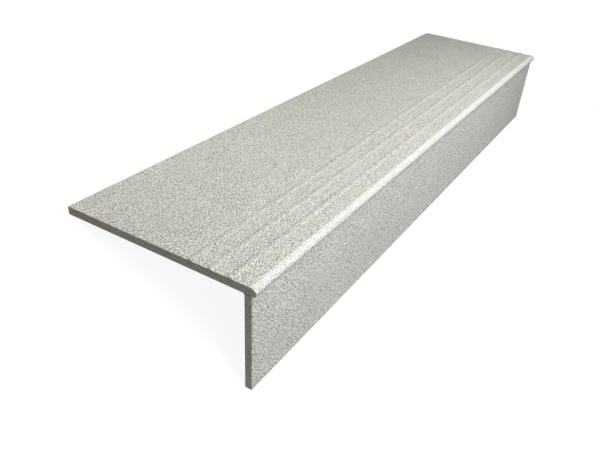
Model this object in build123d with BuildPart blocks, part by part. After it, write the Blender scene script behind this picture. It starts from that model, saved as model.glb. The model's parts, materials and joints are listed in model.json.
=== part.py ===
from build123d import *
import math
import os

# Stair step made of two porcelain tiles: a tread with a rounded nose and raised ribs, and a riser bonded under it.
# The step is set down unheld, so it leans on the riser's foot and on the tread's back edge, like a low tent.
# X runs along the step, the nose points towards -Y, and Z is up from the floor. All sizes are in millimetres.

step_length = 1200  # both tiles, end to end
arris = 0.5  # ground bevel on the sharp edges of both tiles

# Tread tile
tread_depth = 300  # nose to back edge
tread_thickness = 12
nose_flat = 0.5  # upright stretch of the nose, between its two rounds
nose_heel_radius = 4  # lower round, where the nose turns under

# Anti-slip ribs on the walking face
rib_count = 3
rib_setback = 37.5  # nose to the middle of the first rib
rib_pitch = 29
rib_width = 10.5  # foot to foot
rib_flank = 3  # width of each sloping side
rib_height = 1
rib_radius = 5  # rounds along a rib's feet and its flat crown

# Riser tile
riser_height = 150
riser_thickness = 10.5
nose_overhang = 6  # nose to the riser's face

# Adhesive joint between the riser's top and the tread's underside
joint_thickness = 1
joint_setback = 2  # struck back from the riser's face
joint_end_gap = 0.5  # left bare at both ends
bead_size = 5  # squeezed-out bead behind the riser, each leg of its corner
bead_hollow = 0.6  # how far the bead's face is drawn in

# Keying bars pressed on the hidden backs of both tiles
bar_width = 12
bar_pitch = 24
bar_relief = 0.6
bar_draft = 30  # degrees, slope of a bar's flanks
bar_margin = 15  # plain rim around the field of bars

# Sizes that follow from the ones above
nose_radius = tread_thickness - nose_heel_radius - nose_flat
rib_slope = math.degrees(math.atan2(rib_height, rib_flank))
riser_back = nose_overhang + riser_thickness
riser_top = -tread_thickness - joint_thickness
riser_foot = riser_top - riser_height
bar_length = step_length - 2 * bar_margin

# The lean puts the riser's foot and the tread's back edge on one level
lean = math.atan2(riser_height + joint_thickness, tread_depth - riser_back)
front_reach = nose_overhang * math.cos(lean) + (riser_foot + arris) * math.sin(lean)
back_reach = tread_depth * math.cos(lean) - arris * math.sin(lean)
nose_y = -(front_reach + back_reach) / 2
nose_z = (tread_depth - arris) * math.sin(lean) + tread_thickness * math.cos(lean)

# Section plane at the -X end: its x runs back from the nose, its y stands up from the walking face
section = Plane(
    origin=(-step_length / 2, nose_y, nose_z),
    x_dir=(0, math.cos(lean), -math.sin(lean)),
    z_dir=(1, 0, 0),
)


def back_plane(depth, rise, facing):
    """Plane at mid-length on a tile's hidden back, where the keying bars are pressed."""
    return Plane(origin=section.from_local_coords((depth, rise, step_length / 2)), x_dir=(1, 0, 0), z_dir=facing)


def bar_rows(field):
    """Places of the keying bars that fill a field, side by side across it."""
    return GridLocations(0, bar_pitch, 1, int((field - bar_width) // bar_pitch) + 1)


# Tread tile: section with the rounded nose and the ribs, drawn out along the step
bed_front = riser_back + bar_margin
bed_field = tread_depth - bar_margin - bed_front
with BuildPart() as tread_tile:
    with BuildSketch(section) as tread_section:
        Rectangle(tread_depth, tread_thickness, align=(Align.MIN, Align.MAX))
        with Locations((rib_setback + (rib_count - 1) * rib_pitch / 2, 0)):
            with GridLocations(rib_pitch, 0, rib_count, 1):
                Trapezoid(rib_width, rib_height, rib_slope, align=(Align.CENTER, Align.MIN))
        fillet(tread_section.vertices().filter_by_position(Axis.X, arris, tread_depth - arris), rib_radius)
        chamfer(tread_section.vertices().group_by(Axis.X)[-1], arris)
        fillet(tread_section.vertices().group_by(Axis.X)[0].sort_by(Axis.Y)[0], nose_heel_radius)
        fillet(tread_section.vertices().group_by(Axis.X)[0].sort_by(Axis.Y)[-1], nose_radius)
    extrude(amount=step_length)
    chamfer(tread_tile.faces().sort_by(Axis.X)[0].edges(), arris)
    chamfer(tread_tile.faces().sort_by(Axis.X)[-1].edges(), arris)
    with BuildSketch(back_plane(bed_front + bed_field / 2, -tread_thickness, -section.y_dir)):
        with bar_rows(bed_field):
            Rectangle(bar_length, bar_width)
    extrude(amount=bar_relief, taper=bar_draft)
tread_tile.part.label = "tread_tile"

# Riser tile: a plain plate under the tread, set back behind the nose
with BuildPart() as riser_tile:
    with BuildSketch(section) as riser_section:
        with Locations((nose_overhang, riser_top)):
            Rectangle(riser_thickness, riser_height, align=(Align.MIN, Align.MAX))
        chamfer(riser_section.vertices(), arris)
    extrude(amount=step_length)
    chamfer(riser_tile.faces().sort_by(Axis.X)[0].edges(), arris)
    chamfer(riser_tile.faces().sort_by(Axis.X)[-1].edges(), arris)
    with BuildSketch(back_plane(riser_back, riser_top - riser_height / 2, section.x_dir)):
        with bar_rows(riser_height - 2 * bar_margin):
            Rectangle(bar_length, bar_width)
    extrude(amount=bar_relief, taper=bar_draft)
riser_tile.part.label = "riser_tile"

# Adhesive joint: a thin bed on the riser's top edge, with the bead that was squeezed out behind it
with BuildPart() as adhesive_joint:
    with BuildSketch(section.offset(joint_end_gap)):
        with BuildLine():
            bed = Polyline(
                (riser_back, riser_top - bead_size + joint_thickness),
                (riser_back, riser_top - arris),
                (riser_back - arris, riser_top),
                (nose_overhang + joint_setback, riser_top),
                (nose_overhang + joint_setback, -tread_thickness),
                (riser_back + bead_size, -tread_thickness),
            )
            SagittaArc(bed @ 0, bed @ 1, bead_hollow)
        make_face()
    extrude(amount=step_length - 2 * joint_end_gap)
adhesive_joint.part.label = "adhesive_joint"

os.makedirs("parts", exist_ok=True)
export_step(tread_tile.part, "parts/tread_tile.step")
export_step(riser_tile.part, "parts/riser_tile.step")
export_step(adhesive_joint.part, "parts/adhesive_joint.step")
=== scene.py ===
import bmesh
import bpy
import json
import math
from mathutils import Matrix, Vector, noise


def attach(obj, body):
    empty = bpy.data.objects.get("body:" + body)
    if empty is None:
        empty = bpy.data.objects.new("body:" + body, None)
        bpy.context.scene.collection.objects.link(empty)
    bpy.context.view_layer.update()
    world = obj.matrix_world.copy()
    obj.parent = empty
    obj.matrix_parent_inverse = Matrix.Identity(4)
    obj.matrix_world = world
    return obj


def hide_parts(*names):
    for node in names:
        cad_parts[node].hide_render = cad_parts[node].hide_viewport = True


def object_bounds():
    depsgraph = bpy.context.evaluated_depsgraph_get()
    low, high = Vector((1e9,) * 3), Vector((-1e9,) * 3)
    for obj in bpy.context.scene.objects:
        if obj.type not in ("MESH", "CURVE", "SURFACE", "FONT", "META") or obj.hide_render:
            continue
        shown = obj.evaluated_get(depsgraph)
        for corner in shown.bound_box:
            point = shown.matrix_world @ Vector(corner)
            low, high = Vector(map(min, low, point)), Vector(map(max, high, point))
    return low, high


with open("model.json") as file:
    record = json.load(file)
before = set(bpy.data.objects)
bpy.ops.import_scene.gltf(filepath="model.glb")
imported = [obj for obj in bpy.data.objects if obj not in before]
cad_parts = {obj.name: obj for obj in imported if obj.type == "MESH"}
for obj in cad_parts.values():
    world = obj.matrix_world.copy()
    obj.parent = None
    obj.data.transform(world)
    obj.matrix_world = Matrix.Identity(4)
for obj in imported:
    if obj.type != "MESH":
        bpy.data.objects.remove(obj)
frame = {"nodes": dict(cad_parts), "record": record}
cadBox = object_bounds()  # the CAD box, before anything is dressed
mm = 0.001  # settings are in millimetres, the scene is in metres

treadSettings = {
    "arris": 0.5,
    "arrisSegments": 2,
    "noseHeelRadius": 4,
    "noseFlat": 0.5,  # upright stretch between the nose's two rounds
    "noseSegments": 16,
    "heelSegments": 10,
    "ribSetback": 37.5,  # nose to the middle of the first rib
    "ribPitch": 29,
    "ribCount": 3,
    "ribWidth": 10.5,  # foot to foot
    "ribFlank": 3,  # width of each sloping side
    "ribHeight": 1,
    "ribRounding": 0.8,  # taken off each side of a rib's edges
    "ribSegments": 4,
}
riserSettings = {"arris": 0.5, "arrisSegments": 2}
# Keying bars pressed into both backs
barSettings = {"width": 12, "pitch": 24, "relief": 0.6, "draft": 30, "margin": 15}

# Step frame: x along the step from its middle, y back from the nose, z up from the walking face
mounts = {m["name"]: m for m in frame["record"]["mounts"]}
riseDir = -Vector(mounts["tread_bed"]["axis"]).normalized()
depthDir = Vector(mounts["riser_back"]["axis"]).normalized()
lean = math.atan2(riseDir.y, riseDir.z)
stepTurn = Matrix((Vector((1, 0, 0)), depthDir, riseDir)).transposed()


def spanOf(node):
    # lowest and highest corner of a CAD node along the step's own directions, in millimetres
    points = [stepTurn.transposed() @ v.co / mm for v in frame["nodes"][node].data.vertices]
    return [Vector(pick(p[i] for p in points) for i in range(3)) for pick in (min, max)]


treadLow, treadHigh = spanOf("tread_tile")
riserLow, riserHigh = spanOf("riser_tile")
jointLow, jointHigh = spanOf("adhesive_joint")
noseCorner = Vector((0, treadLow.y, treadHigh.z - treadSettings["ribHeight"]))  # nose front, walking level
stepLength = treadHigh.x - treadLow.x
treadDepth = treadHigh.y - treadLow.y
treadThickness = noseCorner.z - jointHigh.z  # the joint's top lies on the underside
riserFace = riserLow.y - noseCorner.y
riserBack = riserHigh.y - noseCorner.y - barSettings["relief"]
riserTop = riserHigh.z - noseCorner.z
riserFoot = riserLow.z - noseCorner.z
stepMatrix = (stepTurn @ Matrix.Diagonal((mm, mm, mm))).to_4x4()  # step millimetres to the row frame
stepMatrix.translation = stepTurn @ (noseCorner * mm)
print("step read:", round(stepLength), "x", round(treadDepth), "mm, leaning", round(math.degrees(lean), 2))


def hexColour(code):
    # sRGB hex to the linear colour that the shaders read
    parts = [int(code[i:i + 2], 16) / 255 for i in (0, 2, 4)]
    return [p / 12.92 if p <= 0.04045 else ((p + 0.055) / 1.055) ** 2.4 for p in parts] + [1]


def addNode(tree, kind, inputs=None, **settings):
    node = tree.nodes.new(kind)
    for name, value in settings.items():
        setattr(node, name, value)
    for name, value in (inputs or {}).items():
        if isinstance(value, bpy.types.NodeSocket):
            tree.links.new(value, node.inputs[name])
        else:
            node.inputs[name].default_value = value
    return node


# The Mix node's sockets share their names: A and B for numbers, A and B for colours, and the two results
numberA, numberB, colourA, colourB = 2, 3, 6, 7
numberOut, colourOut = 0, 2


def newMaterial(name):
    material = bpy.data.materials.new(name)
    material.use_nodes = True
    material.node_tree.nodes.clear()
    return material, material.node_tree


# Porcelain stoneware, pressed from mixed dry powders and fired unglazed: a matt ground of fused pale and dark
# grains, so it reads as fine salt-and-pepper grey with hardly any shine.
porcelainSettings = {
    "coarseGrain": 0.85,  # mm, pale and grey grains of the ground
    "fineGrain": 0.5,
    "fineShare": 0.25,  # share of the coarse cells that are filled with fine grains
    "tones": ((0.0, "909090"), (0.2, "bebebe"), (0.4, "dcdcdc"), (0.7, "e8e8e8"), (1.0, "f8f8f8")),
    "pepperSpacing": 2.4,  # mm between dark grains, drawn coarser than the real ones so that they show
    "pepperRadius": 0.63,
    "pepperSizes": (0.5, 1.5),  # smallest and largest grain, as shares of that radius
    "pepperSoft": 0.04,  # half the width of a grain's soft outline, as a share of the spacing
    "pepperFray": 1.0,  # size of the nicks that make their outlines uneven
    "pepperShift": 1.1,  # depth of those nicks
    "pepperTone": "343432",
    "mottle": 70,  # faint clouds left by uneven powder
    "mottleReach": (0.3, 0.7),  # noise values between which the clouds run
    "mottleShade": (0.965, 1.035),
    "roughness": (0.58, 0.68),
    "specular": 0.4,
    "grit": 1.1,  # pressed grain of the surface
    "gritRelief": 0.2,
    "gritStrength": 0.5,
    "paintedNoseLight": 0.055,  # painted light: how much paler the tread is painted towards the nose
    "paintedNoseLightRun": 140,  # nose to where that ends
    "noseTone": "f2f2ef",  # the nose is ground a little smoother and paler
    "noseCover": (0.8, 0.44),  # at the line, and further round where the wheel bites less
    "noseTop": 1.3,  # drop over which the first gives way to the second
    "noseSpeck": 0.8,  # how far the dark grains stay dark there
    "noseLine": 9.5,  # nose to the straight line where the grinding stops
    "noseFade": (0.3, 0.6),  # past that line, where it fades out
    "noseWave": 25,  # mm, length of the line's waver
    "noseWaver": 0.8,
    "noseFoot": (0.85, 0.5),  # shares of the upper round's height between which it sets in
    "noseRoughness": 0.36,
    "heelShadeTone": "6f6c65",  # the heel under the nose is left raw, and painted shade darkens it
    "heelShadeCover": 0.7,
    "heelShadeFade": 1.6,
    "sawnShadeTone": "9e998c",  # cut ends, dulled by the saw and darkened further by painted shade
    "sawnShadeCover": 0.6,
    "sawnBand": (0.4, 0.1),  # mm from each end, over which that tone sets in
    "sawnPepper": 0.23,  # share of dark grains in the cut ends
    "sawnSoft": 0.02,
    "stainTone": "ae8c4c",  # rust-brown cutting water dried at the back corner of the cut
    "stainCover": 0.9,
    "stainRun": 90,
    "backTone": "aaa69b",  # pressed back, dull from the kiln
    "backCover": 0.65,
    "backBand": (0.35, 0.1),  # mm in front of the plain back, over which that tone sets in
    "washTone": "dcdad3",  # kiln wash, rubbed white on the raised bars
    "washRise": (0.5, 0.95),  # shares of the bars' relief between which it sets in
    "washPatch": 9,
    "washReach": (0.35, 0.6),  # noise values between which the patches run
    "washCover": (0.15, 0.8),
}
treadBatch = {"tint": "faf8ed", "pepper": (0.62, 1.0)}  # pepper: strength of its palest and darkest grains
riserBatch = {"tint": "fdfef6", "pepper": (0.92, 1.0)}  # slightly cooler, and a little more speckled


def makePorcelain(name, look, batch, backAxis, backPlace, backTurn, noseTurn=0):
    # backPlace: where the plain back lies along backAxis; noseTurn: height of the nose's upper round, if any
    material, tree = newMaterial(name)
    place = addNode(tree, "ShaderNodeTexCoord").outputs["Object"]
    step = addNode(tree, "ShaderNodeMapping", {  # row metres to step millimetres
        "Vector": place, "Location": stepMatrix.translation, "Rotation": (-lean, 0, 0), "Scale": (mm, mm, mm),
    }, vector_type="TEXTURE").outputs["Vector"]
    axes = addNode(tree, "ShaderNodeSeparateXYZ", {"Vector": step}).outputs
    along = addNode(tree, "ShaderNodeMath", {0: axes["X"]}, operation="ABSOLUTE").outputs["Value"]
    cut = addNode(tree, "ShaderNodeMapRange", {
        "Value": along,
        "From Min": stepLength / 2 - look["sawnBand"][0], "From Max": stepLength / 2 - look["sawnBand"][1],
    }).outputs["Result"]  # 1 on the cut ends

    # Grains: each cell takes one tone, and some of the coarse cells are filled with fine ones instead
    layers = []
    for size in (look["coarseGrain"], look["fineGrain"]):
        cells = addNode(tree, "ShaderNodeTexVoronoi", {"Vector": step, "Scale": 1 / size})
        picks = addNode(tree, "ShaderNodeSeparateColor", {"Color": cells.outputs["Color"]}).outputs
        ramp = addNode(tree, "ShaderNodeValToRGB", {"Fac": picks["Red"]})
        stops = ramp.color_ramp.elements
        while len(stops) < len(look["tones"]):
            stops.new(0.5)
        for stop, (position, tone) in zip(stops, look["tones"]):
            stop.position = position
            stop.color = [a * b for a, b in zip(hexColour(tone), hexColour(batch["tint"]))]
        layers.append((ramp.outputs["Color"], picks["Green"]))
    (coarse, coarsePick), (fine, _) = layers
    whole = addNode(tree, "ShaderNodeMath", {
        0: coarsePick, 1: look["fineShare"],
    }, operation="GREATER_THAN").outputs["Value"]
    grains = addNode(tree, "ShaderNodeMix", {
        "Factor": whole, colourA: fine, colourB: coarse,
    }, data_type="RGBA").outputs[colourOut]

    # Pepper: one dark grain in each cell of an uneven net that is laid over the face and round the edges
    turned = addNode(tree, "ShaderNodeMath", {0: axes["Y"], 1: axes["Z"]}, operation="ADD").outputs["Value"]
    net = addNode(tree, "ShaderNodeCombineXYZ", {"X": axes["X"], "Y": turned}).outputs["Vector"]
    nicks = addNode(tree, "ShaderNodeTexNoise", {
        "Vector": step, "Scale": 1 / look["pepperFray"], "Detail": 1,
    })
    net = addNode(tree, "ShaderNodeVectorMath", {
        0: nicks.outputs["Color"], 1: [look["pepperShift"]] * 3, 2: net,
    }, operation="MULTIPLY_ADD").outputs["Vector"]
    cells = addNode(tree, "ShaderNodeTexVoronoi", {
        "Vector": net, "Scale": 1 / look["pepperSpacing"],
    }, voronoi_dimensions="2D").outputs
    picks = addNode(tree, "ShaderNodeSeparateColor", {"Color": cells["Color"]}).outputs
    usual = look["pepperRadius"] / look["pepperSpacing"]
    reach = addNode(tree, "ShaderNodeMapRange", {
        "Value": picks["Red"],
        "To Min": look["pepperSizes"][0] * usual, "To Max": look["pepperSizes"][1] * usual,
    }).outputs["Result"]
    inside = addNode(tree, "ShaderNodeMath", {
        0: reach, 1: cells["Distance"],
    }, operation="SUBTRACT").outputs["Value"]
    strength = addNode(tree, "ShaderNodeMapRange", {
        "Value": picks["Green"], "To Min": batch["pepper"][0], "To Max": batch["pepper"][1],
    }).outputs["Result"]
    dots = addNode(tree, "ShaderNodeMapRange", {
        "Value": inside, "From Min": -look["pepperSoft"], "From Max": look["pepperSoft"], "To Max": strength,
    }).outputs["Result"]
    sawnDots = addNode(tree, "ShaderNodeMapRange", {
        "Value": coarsePick, "From Min": 1 - look["sawnPepper"],
        "From Max": 1 - look["sawnPepper"] + look["sawnSoft"], "To Max": strength,
    }).outputs["Result"]  # the net would be drawn out on the cut ends, so whole grains are dark there
    dots = addNode(tree, "ShaderNodeMix", {
        "Factor": cut, numberA: dots, numberB: sawnDots,
    }).outputs[numberOut]
    grains = addNode(tree, "ShaderNodeMix", {
        "Factor": dots, colourA: grains, colourB: hexColour(look["pepperTone"]),
    }, data_type="RGBA").outputs[colourOut]

    # Faint clouds in the tone and in the shine
    cloud = addNode(tree, "ShaderNodeTexNoise", {
        "Vector": step, "Scale": 1 / look["mottle"], "Detail": 3,
    }).outputs["Fac"]
    shade = addNode(tree, "ShaderNodeMapRange", {
        "Value": cloud, "From Min": look["mottleReach"][0], "From Max": look["mottleReach"][1],
        "To Min": look["mottleShade"][0], "To Max": look["mottleShade"][1],
    }).outputs["Result"]
    if noseTurn:
        # Painted light: the walking face is painted paler towards the nose
        paintedNoseLight = addNode(tree, "ShaderNodeMapRange", {
            "Value": axes["Y"], "From Max": look["paintedNoseLightRun"], "To Min": 1 + look["paintedNoseLight"], "To Max": 1,
        }).outputs["Result"]
        shade = addNode(tree, "ShaderNodeMath", {0: shade, 1: paintedNoseLight}, operation="MULTIPLY").outputs["Value"]
    colour = addNode(tree, "ShaderNodeVectorMath", {
        0: grains, "Scale": shade,
    }, operation="SCALE").outputs["Vector"]
    roughness = addNode(tree, "ShaderNodeMapRange", {
        "Value": cloud, "From Min": look["mottleReach"][0], "From Max": look["mottleReach"][1],
        "To Min": look["roughness"][0], "To Max": look["roughness"][1],
    }).outputs["Result"]

    # Pressed back: duller, with kiln wash rubbed over the raised bars
    behind = addNode(tree, "ShaderNodeMath", {
        0: axes[backAxis], 1: backTurn, 2: -backTurn * backPlace,
    }, operation="MULTIPLY_ADD").outputs["Value"]  # millimetres behind the plain back
    pressed = addNode(tree, "ShaderNodeMapRange", {
        "Value": behind, "From Min": -look["backBand"][0], "From Max": -look["backBand"][1],
        "To Max": look["backCover"],
    }).outputs["Result"]
    colour = addNode(tree, "ShaderNodeMix", {
        "Factor": pressed, colourA: colour, colourB: hexColour(look["backTone"]),
    }, data_type="RGBA").outputs[colourOut]
    rubbed = addNode(tree, "ShaderNodeMapRange", {
        "Value": behind,
        "From Min": look["washRise"][0] * barSettings["relief"],
        "From Max": look["washRise"][1] * barSettings["relief"],
    }).outputs["Result"]
    patchy = addNode(tree, "ShaderNodeTexNoise", {
        "Vector": step, "Scale": 1 / look["washPatch"], "Detail": 5, "Roughness": 0.65,
    })
    patchy = addNode(tree, "ShaderNodeMapRange", {
        "Value": patchy.outputs["Fac"],
        "From Min": look["washReach"][0], "From Max": look["washReach"][1],
        "To Min": look["washCover"][0], "To Max": look["washCover"][1],
    }).outputs["Result"]
    rubbed = addNode(tree, "ShaderNodeMath", {0: rubbed, 1: patchy}, operation="MULTIPLY").outputs["Value"]
    colour = addNode(tree, "ShaderNodeMix", {
        "Factor": rubbed, colourA: colour, colourB: hexColour(look["washTone"]),
    }, data_type="RGBA").outputs[colourOut]

    # Cut ends: a band over each end, dulled by the saw and darkened by painted shade, browner towards the
    # back corner
    stain = addNode(tree, "ShaderNodeMapRange", {
        "Value": axes["Y"], "From Min": treadDepth - look["stainRun"], "From Max": treadDepth,
        "To Max": look["stainCover"],
    }).outputs["Result"]
    sawnAndShade = addNode(tree, "ShaderNodeMix", {
        "Factor": stain, colourA: hexColour(look["sawnShadeTone"]), colourB: hexColour(look["stainTone"]),
    }, data_type="RGBA").outputs[colourOut]
    sawnAndShade = addNode(tree, "ShaderNodeMix", {
        "Factor": look["sawnShadeCover"], colourA: colour, colourB: sawnAndShade,
    }, data_type="RGBA").outputs[colourOut]
    colour = addNode(tree, "ShaderNodeMix", {
        "Factor": cut, colourA: colour, colourB: sawnAndShade,
    }, data_type="RGBA").outputs[colourOut]

    # Nose: ground smooth and paler, up to a straight line on the walking face
    if noseTurn:
        keep = addNode(tree, "ShaderNodeMath", {0: 1, 1: cut}, operation="SUBTRACT").outputs["Value"]
        waver = addNode(tree, "ShaderNodeTexNoise", {"Vector": step, "Scale": 1 / look["noseWave"]})
        edge = addNode(tree, "ShaderNodeMath", {
            0: waver.outputs["Fac"], 1: look["noseWaver"], 2: axes["Y"],
        }, operation="MULTIPLY_ADD").outputs["Value"]
        ground = addNode(tree, "ShaderNodeMapRange", {
            "Value": edge, "To Min": 1, "To Max": 0,
            "From Min": look["noseLine"] + look["noseFade"][0],
            "From Max": look["noseLine"] + look["noseFade"][1],
        }).outputs["Result"]
        cover = addNode(tree, "ShaderNodeMapRange", {
            "Value": axes["Z"], "From Min": -look["noseTop"], "From Max": 0,
            "To Min": look["noseCover"][1], "To Max": look["noseCover"][0],
        }).outputs["Result"]
        facing = addNode(tree, "ShaderNodeMapRange", {
            "Value": axes["Z"],
            "From Min": -look["noseFoot"][0] * noseTurn, "From Max": -look["noseFoot"][1] * noseTurn,
        }).outputs["Result"]  # the wheel leaves the lower front as pressed
        plain = addNode(tree, "ShaderNodeMath", {
            0: dots, 1: -look["noseSpeck"], 2: 1,
        }, operation="MULTIPLY_ADD").outputs["Value"]
        for share in (cover, facing, keep, plain):
            ground = addNode(tree, "ShaderNodeMath", {
                0: ground, 1: share,
            }, operation="MULTIPLY").outputs["Value"]
        colour = addNode(tree, "ShaderNodeMix", {
            "Factor": ground, colourA: colour, colourB: hexColour(look["noseTone"]),
        }, data_type="RGBA").outputs[colourOut]
        roughness = addNode(tree, "ShaderNodeMix", {
            "Factor": ground, numberA: roughness, numberB: look["noseRoughness"],
        }).outputs[numberOut]
        # Painted shade: the heel under the nose, in front of the riser, is darkened
        under = addNode(tree, "ShaderNodeMapRange", {
            "Value": axes["Z"], "From Min": -noseTurn - look["heelShadeFade"], "From Max": -noseTurn,
            "To Min": look["heelShadeCover"], "To Max": 0,
        }).outputs["Result"]
        front = addNode(tree, "ShaderNodeMath", {
            0: axes["Y"], 1: riserFace,
        }, operation="LESS_THAN").outputs["Value"]
        for share in (front, keep):
            under = addNode(tree, "ShaderNodeMath", {
                0: under, 1: share,
            }, operation="MULTIPLY").outputs["Value"]
        colour = addNode(tree, "ShaderNodeMix", {
            "Factor": under, colourA: colour, colourB: hexColour(look["heelShadeTone"]),
        }, data_type="RGBA").outputs[colourOut]

    # Pressed grit
    grit = addNode(tree, "ShaderNodeTexNoise", {"Vector": step, "Scale": 1 / look["grit"], "Detail": 2})
    bump = addNode(tree, "ShaderNodeBump", {
        "Height": grit.outputs["Fac"], "Strength": look["gritStrength"], "Distance": look["gritRelief"] * mm,
    })
    surface = addNode(tree, "ShaderNodeBsdfPrincipled", {
        "Base Color": colour, "Roughness": roughness, "IOR": 1.5,
        "Specular IOR Level": look["specular"],
        "Normal": bump.outputs["Normal"],
    })
    addNode(tree, "ShaderNodeOutputMaterial", {"Surface": surface.outputs["BSDF"]})
    return material


noseRadius = treadThickness - treadSettings["noseHeelRadius"] - treadSettings["noseFlat"]
treadPorcelain = makePorcelain("groundNosePorcelain", porcelainSettings, treadBatch, "Z", -treadThickness, -1,
                               noseRadius)
riserPorcelain = makePorcelain("saltAndPepperPorcelain", porcelainSettings, riserBatch, "Y", riserBack, 1)

# Tile adhesive, trowelled cement with polymer, cured dull dark grey with a sandy skin
adhesiveSettings = {
    "tone": "5c5a55",
    "darkTone": "3f3d39",
    "lump": 6,  # blotches in its tone
    "sand": 0.7,
    "sandRelief": 0.15,
    "sandStrength": 0.6,
    "roughness": 0.9,
    "hollow": 0.6,  # how far the bead's face is drawn in
    "hollowCuts": 5,
    "usual": 0.75,  # share of the full bead that is left after wiping
    "waver": 0.5,
    "wave": 38,  # length of a swell along the bead
    "ripples": 4,  # smaller swells to each one
    "ripple": 0.4,  # their share of its strength
    "atEnds": 0.45,  # share left where it was wiped off flush
    "endRun": 15,
    "steps": 300,
    "sharpAngle": 60,
}


def makeAdhesive(name, look):
    material, tree = newMaterial(name)
    place = addNode(tree, "ShaderNodeTexCoord").outputs["Object"]
    lumps = addNode(tree, "ShaderNodeTexNoise", {
        "Vector": place, "Scale": 1 / (look["lump"] * mm), "Detail": 4,
    })
    tone = addNode(tree, "ShaderNodeMix", {
        "Factor": lumps.outputs["Fac"],
        colourA: hexColour(look["darkTone"]), colourB: hexColour(look["tone"]),
    }, data_type="RGBA")
    sand = addNode(tree, "ShaderNodeTexNoise", {
        "Vector": place, "Scale": 1 / (look["sand"] * mm), "Detail": 2,
    })
    bump = addNode(tree, "ShaderNodeBump", {
        "Height": sand.outputs["Fac"], "Strength": look["sandStrength"], "Distance": look["sandRelief"] * mm,
    })
    surface = addNode(tree, "ShaderNodeBsdfPrincipled", {
        "Base Color": tone.outputs[colourOut], "Roughness": look["roughness"], "IOR": 1.5,
        "Normal": bump.outputs["Normal"],
    })
    addNode(tree, "ShaderNodeOutputMaterial", {"Surface": surface.outputs["BSDF"]})
    return material


adhesive = makeAdhesive("curedTileAdhesive", adhesiveSettings)
print("materials made")


tolerance = 0.01  # mm, for finding edges and corners by their place
facingLimit = 0.9  # least share of a face's normal along the direction that it is said to face


def startSlab(size, middle):
    bm = bmesh.new()
    bmesh.ops.create_cube(bm, size=1)
    bmesh.ops.scale(bm, vec=size, verts=bm.verts)
    bmesh.ops.translate(bm, vec=middle, verts=bm.verts)
    return bm


def bevelWhere(bm, test, size, segments):
    edges = [e for e in bm.edges if test(*(v.co for v in e.verts))]
    bmesh.ops.bevel(bm, geom=edges, offset=size, offset_type="OFFSET", affect="EDGES", segments=segments,
                    profile=0.5, material=-1)


def cutWhere(bm, test, place, normal):
    faces = [f for f in bm.faces if test(f)]
    parts = faces + [part for f in faces for part in (*f.edges, *f.verts)]
    parts = list(dict.fromkeys(parts))  # each once
    bmesh.ops.bisect_plane(bm, geom=parts, dist=1e-4, plane_co=place, plane_no=normal)


def pressBars(bm, axis, facing, middle, field, bars):
    # raised keying bars along the step, on the back that faces +facing or -facing along y or z
    across = 3 - axis
    onBack = lambda f: f.normal[axis] * facing > facingLimit
    rows = int((field - bars["width"]) // bars["pitch"]) + 1
    halfLength, halfWidth = stepLength / 2 - bars["margin"], bars["width"] / 2
    rowMiddles = [middle + (row - (rows - 1) / 2) * bars["pitch"] for row in range(rows)]
    sideways = Vector((0, 0, 0))
    sideways[across] = 1
    for side in (-halfLength, halfLength):
        cutWhere(bm, onBack, (side, 0, 0), (1, 0, 0))
    inField = lambda f: onBack(f) and abs(f.calc_center_median().x) < halfLength
    for rowMiddle in rowMiddles:
        for side in (-halfWidth, halfWidth):
            cutWhere(bm, inField, sideways * (rowMiddle + side), sideways)
    barFaces = [
        f for f in bm.faces
        if inField(f) and any(abs(f.calc_center_median()[across] - m) < halfWidth for m in rowMiddles)
    ]
    slant = bars["relief"] * math.tan(math.radians(bars["draft"]))
    bmesh.ops.inset_region(bm, faces=barFaces, thickness=slant, depth=bars["relief"], use_even_offset=True)
    margins = [f for f in bm.faces if onBack(f) and not inField(f) and len(f.verts) > 4]
    bmesh.ops.triangulate(bm, faces=margins, ngon_method="BEAUTY")  # they have a row of corners on one side


def finishPiece(bm, name, node, material, sharpAngle=32):
    # puts a piece drawn in step millimetres in its place and lets it stand for its CAD node
    bmesh.ops.transform(bm, matrix=stepMatrix, verts=bm.verts)
    bmesh.ops.recalc_face_normals(bm, faces=bm.faces)
    mesh = bpy.data.meshes.new(name)
    bm.to_mesh(mesh)
    bm.free()
    mesh.shade_smooth()
    mesh.set_sharp_from_angle(angle=math.radians(sharpAngle))
    mesh.materials.append(material)
    piece = bpy.data.objects.new(name, mesh)
    bpy.context.scene.collection.objects.link(piece)
    weighted = piece.modifiers.new("weightedNormals", "WEIGHTED_NORMAL")
    weighted.keep_sharp = True
    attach(piece, "root")
    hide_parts(node)
    print(name, "made,", len(mesh.polygons), "faces")


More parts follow.
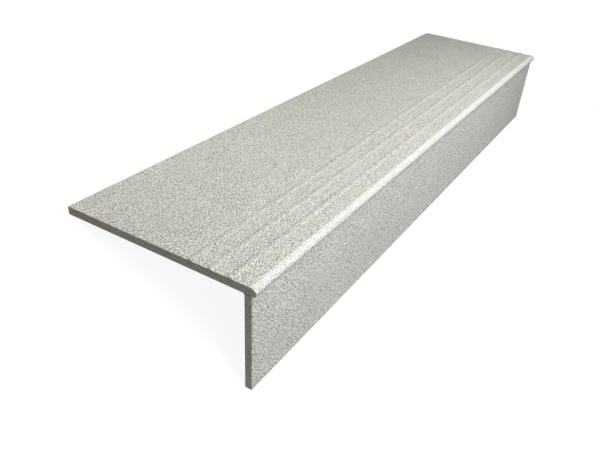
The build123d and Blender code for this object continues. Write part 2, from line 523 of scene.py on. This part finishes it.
def treadTile(s, bars):
    bm = startSlab((stepLength, treadDepth, treadThickness), (0, treadDepth / 2, -treadThickness / 2))
    near = lambda value, target: abs(value - target) < tolerance
    atNose = lambda p, height: near(p.y, 0) and near(p.z, height)
    bevelWhere(bm, lambda a, b: atNose(a, 0) and atNose(b, 0), noseRadius, s["noseSegments"])
    bevelWhere(bm, lambda a, b: atNose(a, -treadThickness) and atNose(b, -treadThickness),
               s["noseHeelRadius"], s["heelSegments"])

    # Ribs: strips of the walking face are lifted, and the lines along them are rounded
    ribLines = []
    for row in range(s["ribCount"]):
        middle = s["ribSetback"] + row * s["ribPitch"]
        foot = s["ribWidth"] / 2
        crown = foot - s["ribFlank"]
        for y in (middle - foot, middle - crown, middle + crown, middle + foot):
            cutWhere(bm, lambda f: f.normal.z > facingLimit, (0, y, 0), (0, 1, 0))
            ribLines.append(y)
        lifted = [v for v in bm.verts if near(v.co.z, 0) and abs(v.co.y - middle) < crown + tolerance]
        bmesh.ops.translate(bm, vec=(0, 0, s["ribHeight"]), verts=lifted)
    alongRib = lambda a, b: a.z > -tolerance and near(a.y, b.y) and any(near(a.y, y) for y in ribLines)
    bevelWhere(bm, alongRib, s["ribRounding"], s["ribSegments"])
    atEnd = lambda a, b: near(abs(a.x), stepLength / 2) and near(a.x, b.x)
    atBack = lambda a, b: near(a.y, treadDepth) and near(b.y, treadDepth)
    bevelWhere(bm, lambda a, b: atEnd(a, b) or atBack(a, b), s["arris"], s["arrisSegments"])
    bedFront = riserBack + bars["margin"]
    bedBack = treadDepth - bars["margin"]
    pressBars(bm, 2, -1, (bedFront + bedBack) / 2, bedBack - bedFront, bars)
    finishPiece(bm, "treadTile", "tread_tile", treadPorcelain)


def riserTile(s, bars):
    height = riserTop - riserFoot
    thickness = riserBack - riserFace
    middle = (0, (riserFace + riserBack) / 2, (riserTop + riserFoot) / 2)
    bm = startSlab((stepLength, thickness, height), middle)
    bevelWhere(bm, lambda a, b: True, s["arris"], s["arrisSegments"])
    pressBars(bm, 1, 1, middle[2], height - 2 * bars["margin"], bars)
    finishPiece(bm, "riserTile", "riser_tile", riserPorcelain)


def adhesiveBead(s, arris):
    # thin bed on the riser's top, with the bead that was squeezed out behind it and wiped by hand
    bedFront = jointLow.y - noseCorner.y
    beadBack = jointHigh.y - noseCorner.y
    beadLow = jointLow.z - noseCorner.z
    halfLength = jointHigh.x
    corner = Vector((0, riserBack, -treadThickness))
    bm = bmesh.new()
    section = bm.faces.new([bm.verts.new((-halfLength, y, z)) for y, z in (
        (bedFront, -treadThickness), (bedFront, riserTop), (riserBack - arris, riserTop),
        (riserBack, riserTop - arris), (riserBack, beadLow), (beadBack, -treadThickness),
    )])
    spread = lambda e: e.verts[0].co - e.verts[1].co
    slope = [e for e in bm.edges if min(abs(spread(e).y), abs(spread(e).z)) > 2 * arris]
    cuts = bmesh.ops.subdivide_edges(bm, edges=slope, cuts=s["hollowCuts"])["geom_inner"]
    for v in [v for v in cuts if isinstance(v, bmesh.types.BMVert)]:
        share = (v.co.y - riserBack) / (beadBack - riserBack)
        v.co -= Vector((0, 1, -1)).normalized() * s["hollow"] * 4 * share * (1 - share)
    grown = bmesh.ops.extrude_face_region(bm, geom=[section])["geom"]
    farEnd = [v for v in grown if isinstance(v, bmesh.types.BMVert)]
    bmesh.ops.translate(bm, vec=(2 * halfLength, 0, 0), verts=farEnd)
    runs = [e for e in bm.edges if abs(spread(e).x) > halfLength]
    bmesh.ops.subdivide_edges(bm, edges=runs, cuts=s["steps"], use_grid_fill=True)
    stride = 2 * halfLength / (s["steps"] + 1)
    for v in bm.verts:
        v.co.x = round((v.co.x + halfLength) / stride) * stride - halfLength  # cuts drift a little
        onRiser = v.co.y > riserBack - tolerance and v.co.z < riserTop - arris - tolerance
        if onRiser or v.co.y > riserBack + tolerance:
            run = v.co.x / s["wave"]
            swell = noise.noise((run, 0, 0)) + s["ripple"] * noise.noise((run * s["ripples"], 5, 0))
            share = min(max(s["usual"] + s["waver"] * swell, s["atEnds"]), 1)
            wiped = min((halfLength - abs(v.co.x)) / s["endRun"], 1)
            share = s["atEnds"] + (share - s["atEnds"]) * wiped
            v.co.yz = (corner + (v.co - corner) * share).yz
    finishPiece(bm, "adhesiveBead", "adhesive_joint", adhesive, s["sharpAngle"])


treadTile(treadSettings, barSettings)
riserTile(riserSettings, barSettings)
adhesiveBead(adhesiveSettings, riserSettings["arris"])
print("pieces made")

# Camera: the photograph's view of the step, in step millimetres
cameraSettings = {
    "eye": (-1022.8, -307.3, 410.5),
    "aim": (-501.4, -36.4, 0),
    "roll": 5.243,
    "lens": 35.83,
    "sensor": 36,
    "shift": (-0.0495, 0.0589),
}


def placeCamera(s):
    data = bpy.data.cameras.new("photoCamera")
    data.lens, data.sensor_width = s["lens"], s["sensor"]
    data.shift_x, data.shift_y = s["shift"]
    camera = bpy.data.objects.new("photoCamera", data)
    bpy.context.scene.collection.objects.link(camera)
    eye, aim = stepMatrix @ Vector(s["eye"]), stepMatrix @ Vector(s["aim"])
    back = (eye - aim).normalized()
    right = riseDir.cross(back).normalized()
    turn = Matrix((right, back.cross(right), back)).transposed().to_4x4()
    camera.matrix_world = Matrix.Translation(eye) @ turn @ Matrix.Rotation(math.radians(s["roll"]), 4, "Z")
    bpy.context.scene.camera = camera


placeCamera(cameraSettings)

# Studio: two soft lamps over the near end, one over the far half and a weak one behind the near end,
# faint light from all round, and a white floor that keeps a faint shadow
studioSettings = {
    "lamps": {
        "overLamp": {"place": (-0.63, -0.26, 1.41), "size": 0.6, "power": 5.4},
        "nearLamp": {"place": (-0.6, -0.45, 0.8), "size": 0.6, "power": 4.9},
        "farLamp": {"place": (0.3, -0.15, 0.8), "size": 0.6, "power": 4.3},
        "backLamp": {"place": (-0.5, 0.6, 0.4), "size": 0.3, "power": 1.7},
    },
    "ambient": 0.08,
    "floorGlow": 0.91,  # under the step, where the lamps' light and its shadow are added
    "glowFade": (0.7, 1.6),  # metres from the middle, over which the floor turns plain white
    "floorLit": 0.22,
    "floorBounce": 0.35,
    "floorSize": 30,
}


def seenDirectly(tree):
    # 1 for rays from the camera, from a shiny surface or through a clear one
    path = addNode(tree, "ShaderNodeLightPath").outputs
    seen = addNode(tree, "ShaderNodeMath", {
        0: path["Is Camera Ray"], 1: path["Is Glossy Ray"],
    }, operation="MAXIMUM")
    return addNode(tree, "ShaderNodeMath", {
        0: seen.outputs["Value"], 1: path["Is Transmission Ray"],
    }, operation="MAXIMUM").outputs["Value"]


def buildStudio(s):
    target = (Vector(cadBox[0]) + Vector(cadBox[1])) / 2
    for name, look in s["lamps"].items():
        light = bpy.data.lights.new(name, "AREA")
        light.energy, light.size = look["power"], look["size"]
        lamp = bpy.data.objects.new(name, light)
        bpy.context.scene.collection.objects.link(lamp)
        lamp.location = look["place"]
        lamp.rotation_euler = (target - lamp.location).to_track_quat("-Z", "Y").to_euler()
        lamp.visible_camera = False

    world = bpy.data.worlds.new("paleRoom")
    bpy.context.scene.world = world
    world.use_nodes = True
    tree = world.node_tree
    tree.nodes.clear()
    strength = addNode(tree, "ShaderNodeMapRange", {
        "Value": seenDirectly(tree), "To Min": s["ambient"], "To Max": 1,
    }).outputs["Result"]
    sky = addNode(tree, "ShaderNodeBackground", {"Color": (1, 1, 1, 1), "Strength": strength})
    addNode(tree, "ShaderNodeOutputWorld", {"Surface": sky.outputs["Background"]})

    material, tree = newMaterial("whitePaperFloor")
    place = addNode(tree, "ShaderNodeTexCoord").outputs["Object"]
    away = addNode(tree, "ShaderNodeVectorMath", {0: place}, operation="LENGTH").outputs["Value"]
    fade = addNode(tree, "ShaderNodeMapRange", {
        "Value": away, "From Min": s["glowFade"][0], "From Max": s["glowFade"][1],
        "To Min": s["floorGlow"], "To Max": 1,
    }).outputs["Result"]
    glow = addNode(tree, "ShaderNodeEmission", {"Color": (1, 1, 1, 1), "Strength": fade})
    lit = addNode(tree, "ShaderNodeBsdfDiffuse", {"Color": [s["floorLit"]] * 3 + [1]})
    shown = addNode(tree, "ShaderNodeAddShader", {0: glow.outputs["Emission"], 1: lit.outputs["BSDF"]})
    bounce = addNode(tree, "ShaderNodeBsdfDiffuse", {"Color": [s["floorBounce"]] * 3 + [1]})
    sheet = addNode(tree, "ShaderNodeMixShader", {
        "Fac": seenDirectly(tree), 1: bounce.outputs["BSDF"], 2: shown.outputs["Shader"],
    })
    clear = addNode(tree, "ShaderNodeBsdfTransparent")
    under = addNode(tree, "ShaderNodeNewGeometry").outputs["Backfacing"]  # open from below, to show the backs
    oneSided = addNode(tree, "ShaderNodeMixShader", {
        "Fac": under, 1: sheet.outputs["Shader"], 2: clear.outputs["BSDF"],
    })
    addNode(tree, "ShaderNodeOutputMaterial", {"Surface": oneSided.outputs["Shader"]})
    bm = bmesh.new()
    bmesh.ops.create_grid(bm, x_segments=1, y_segments=1, size=s["floorSize"] / 2)
    mesh = bpy.data.meshes.new("floor")
    bm.to_mesh(mesh)
    bm.free()
    mesh.materials.append(material)
    floor = bpy.data.objects.new("floor", mesh)
    bpy.context.scene.collection.objects.link(floor)
    floor.location.z = cadBox[0].z


buildStudio(studioSettings)
bpy.context.scene.view_settings.view_transform = "Standard"
print("studio made")
